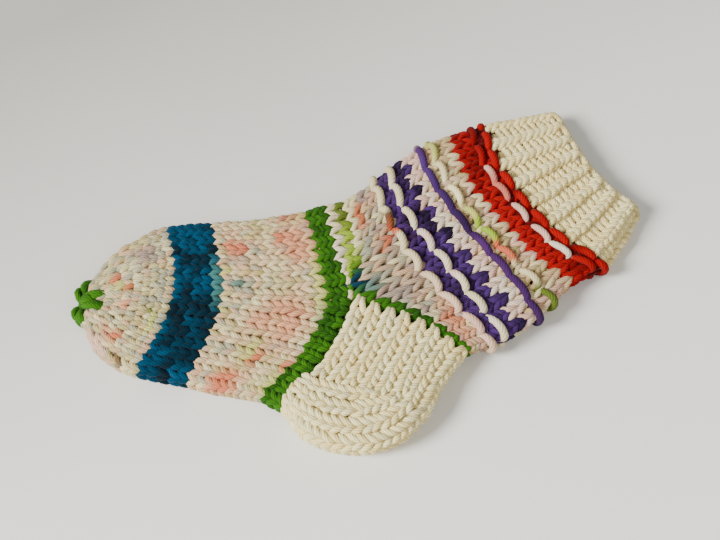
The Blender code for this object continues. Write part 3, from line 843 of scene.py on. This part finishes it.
def foot():
    lime = by_place([(0.0, OLIVE), (0.12, OLIVE), (0.2, BRIGHT_LIME), (0.35, BRIGHT_LIME), (0.42, GREEN),
                     (0.5, GREEN), (1.5, GREEN), (1.7, BRIGHT_LIME), (2.0, OLIVE)])
    edges = np.linspace(-ANKLE_CORNER, ANKLE_CORNER, STITCHES_A_FACE + 1)
    knitted("instep_rows", [knit_row(INSTEP_SURFACE, -0.5, edges, False, lime),
                            knit_row(INSTEP_SURFACE, -1.45, edges, False, blended([WHITE, IVORY], 2.0))])
    knitted("green_gusset_band", foot_rows([-2.45, -3.45, -4.45], blended([GREEN, DEEP_GREEN, GREEN], 1.5)))
    spots = [(-13.0, 0.21, CORAL, 1.2, 1.0), (-8.0, 0.16, CORAL, 1.2, 0.8), (-7.0, 0.03, CORAL, 0.7, 0.6),
             (-7.5, 0.24, PEACH, 1.0, 1.0), (-13.2, 0.43, PALE_TEAL, 0.8, 0.6), (-9.6, 0.53, PEACH, 1.0, 0.9),
             (-10.8, 0.61, PEACH, 1.2, 1.0), (-10.5, 0.77, LIME, 1.0, 1.0), (-9.6, 0.80, CORAL, 0.7, 0.7),
             (-10.8, 0.95, CORAL, 2.0, 1.3), (-5.6, 0.83, CORAL, 0.6, 0.6), (-5.5, 0.4, LIME, 0.6, 3.0),
             (-5.6, 0.92, LIME, 0.6, 1.2), (-6.5, 0.2, PEACH, 1.6, 2.0), (-8.0, 0.6, PEACH, 1.8, 2.2)]
    dye = spotted(HAND_DYED, spots + strewn(-15, -5, 14, [CORAL, LIME, PEACH, PALE_TEAL]))
    knitted("foot_band", foot_rows(np.arange(-5.45, -15.0, -1.0), dye))
    blue = blended([BLUE, DEEP_BLUE, BLUE, BRIGHT_BLUE, BLUE], 1.1)
    blue = spotted(blue, [(-15.3, 0.42, PALE_TEAL, 0.5, 2.2)])
    knitted("blue_band", foot_rows(np.arange(-15.45, -20.0, -1.0), blue))
    spots = [(-23.0, 0.2, LILAC, 1.2, 1.2), (-22.7, 0.05, OATMEAL, 1.2, 1.2), (-26.3, 0.29, CORAL, 0.7, 0.8),
             (-25.6, 0.42, ORANGE, 0.6, 0.6), (-26.3, 0.37, LIME, 0.6, 0.6), (-25.6, 0.57, PEACH, 1.0, 0.8),
             (-22.2, 0.61, OLIVE, 0.5, 0.4), (-21.6, 0.69, LIME, 0.8, 1.2), (-24.8, 0.83, CORAL, 1.0, 0.9),
             (-25.5, 0.96, PALE_PINK, 1.5, 1.2), (-22.5, 0.95, BROWN, 0.8, 0.7)]
    dye = spotted(TOE_DYED, spots + strewn(-28, -20, 9, [CORAL, LIME, LILAC, BROWN]))
    last_row = knit_row(TIP_SURFACE, -28.3, np.linspace(0.0, 2.0, 13), True, dye)
    knitted("toe_band", foot_rows(np.arange(-20.45, -28.0, -1.0), dye) + [last_row])


def toe_tip():
    """Four pairs of stitches with a small one on each, drawn in to a small ring of yarn."""
    green = blended([GREEN, DEEP_GREEN, GREEN, GREEN], 2.0)
    half_width = 0.085
    paths = []
    for petal, height in ((0.0, 0.7), (0.5, 1.4), (1.0, 0.7), (1.5, 1.4)):
        for side in (-1, 1):
            middle = petal + side * half_width
            edges = [middle - half_width, middle + half_width]
            loop = knit_row(TIP_SURFACE, -28.85, edges, False, green, height=height, rise=0.8)
            loop.size[:] = 1.15
            paths.append(loop)
        edges = [petal - 0.1, petal + 0.1]
        paths.append(knit_row(TIP_SURFACE, -29.5, edges, False, green, height=0.6, rise=1.5))
    angle = np.arange(24) * math.tau / 24
    centre = TIP_SURFACE.CENTRE + np.append(ANCHOR, 0.0)
    ring = centre + np.outer(np.cos(angle), (0.5, 0.0, 1.5)) + np.outer(np.sin(angle), (0.0, 1.9, 0.0))
    paths.append(Path(ring, green(angle, angle / math.pi), True))
    knitted("toe_tip", paths)


cuff_rib()
leg_bands()
strands()
heel()
foot()
toe_tip()

# ---- how the pieces move ----------------------------------------------------------------------------
BODIES = frame["record"]["behaviour"]["bodies"]
BODY_OF = {node: body for body, nodes in BODIES.items() for node in nodes}
ANKLE_BEND, CUFF_BEND = 0.009, 0.007  # how far from each fold's axis the ends of its bend are put, in metres
AT_ANKLE = ("heel_flap", "lower_leg_band", "green_ankle_row", "lower_white_float_strand", "dark_purple_row",
            "upper_white_float_strand", "purple_band", "white_fleck_row")
AT_CUFF = ("red_band", "pink_float_strand", "red_float_strand", "cuff_rib")


def bend(piece, joint, reach):
    """Bake a piece's placement into its mesh and find the two ends of a fold's bend, within reach of the
    axis; the piece is not blended across the fold.
    """
    pivot, axis = Vector(joint["pos_m"]), Vector(joint["axis"]).normalized()
    outward = Vector((-axis.y, axis.x, 0.0))
    start, end = pivot - outward * reach, pivot + outward * reach
    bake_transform(piece)
    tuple(start)
    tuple(end)


for node, piece in PIECES.items():
    if node in AT_ANKLE:
        bend(piece, JOINTS["ankle_fold"], ANKLE_BEND)
    elif node in AT_CUFF:
        bend(piece, JOINTS["cuff_fold"], CUFF_BEND)
    else:
        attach(piece, BODY_OF[node])
    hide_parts(node)


# ---- floor, light and camera ------------------------------------------------------------------------
def floor():
    """A pale plane with a painted light falloff: a little darker towards its far left than towards its near
    right.
    """
    mesh = bpy.data.meshes.new("floor")
    half = 1.2
    corners = [(-half, -half, 0), (half, -half, 0), (half, half, 0), (-half, half, 0)]
    mesh.from_pydata(corners, [], [(0, 1, 2, 3)])
    material = bpy.data.materials.new("floor")
    material.use_nodes = True
    nodes, links = material.node_tree.nodes, material.node_tree.links
    shader = nodes["Principled BSDF"]
    # painted light: the falloff of the lamps across the table is painted into the plane's colour as a ramp
    place, painted_falloff = nodes.new("ShaderNodeTexCoord"), nodes.new("ShaderNodeVectorMath")
    painted_falloff.operation = "DOT_PRODUCT"
    links.new(place.outputs["Object"], painted_falloff.inputs[0])
    painted_falloff.inputs[1].default_value = (1.9, -2.5, 0.0)
    grain = nodes.new("ShaderNodeTexNoise")
    links.new(place.outputs["Object"], grain.inputs["Vector"])
    grain.inputs["Scale"].default_value = 9.0
    shade = nodes.new("ShaderNodeMath")
    shade.operation = "MULTIPLY_ADD"
    links.new(grain.outputs["Fac"], shade.inputs[0])
    shade.inputs[1].default_value = 0.1
    links.new(painted_falloff.outputs["Value"], shade.inputs[2])
    middle = nodes.new("ShaderNodeMath")
    links.new(shade.outputs[0], middle.inputs[0])
    middle.inputs[1].default_value = 0.45
    ramp = nodes.new("ShaderNodeValToRGB")
    links.new(middle.outputs[0], ramp.inputs["Fac"])
    stops = ramp.color_ramp.elements
    stops[0].position, stops[0].color = 0.0, (*linear(170, 168, 161), 1.0)
    stops[1].position, stops[1].color = 1.0, (*linear(250, 248, 241), 1.0)
    stops.new(0.5).color = (*linear(229, 227, 219), 1.0)
    links.new(ramp.outputs["Color"], shader.inputs["Base Color"])
    shader.inputs["Roughness"].default_value = 0.75
    mesh.materials.append(material)
    plane = bpy.data.objects.new("floor", mesh)
    bpy.context.scene.collection.objects.link(plane)


def area_light(name, place, size, power):
    """A round soft light that faces the middle of the table."""
    light = bpy.data.lights.new(name, "AREA")
    light.shape, light.size, light.energy = "DISK", size, power
    lamp = bpy.data.objects.new(name, light)
    lamp.location = place
    lamp.rotation_euler = (-Vector(place)).to_track_quat("-Z", "Y").to_euler()
    bpy.context.scene.collection.objects.link(lamp)


def world_light(strength):
    world = bpy.data.worlds.new("studio")
    world.use_nodes = True
    background = world.node_tree.nodes["Background"]
    background.inputs["Color"].default_value = (1.0, 0.99, 0.97, 1.0)
    background.inputs["Strength"].default_value = strength
    bpy.context.scene.world = world


def camera():
    """Looks along +Y from 60 degrees above the table."""
    elevation, distance = math.radians(60.0), 0.4133
    data = bpy.data.cameras.new("camera")
    data.lens, data.sensor_width = 62.0, 36.0
    eye = bpy.data.objects.new("camera", data)
    aim = Vector((ANCHOR[0] * MM, ANCHOR[1] * MM, 0.0))
    eye.location = aim + Vector((0.0, -math.cos(elevation), math.sin(elevation))) * distance
    eye.rotation_euler = (math.pi / 2 - elevation, 0.0, 0.0)
    bpy.context.scene.collection.objects.link(eye)
    bpy.context.scene.camera = eye


floor()
world_light(0.36)
area_light("window", (-1.2, -0.48, 1.0), 0.64, 58.0)
area_light("fill", (0.3, -0.7, 0.9), 0.9, 5.0)
camera()
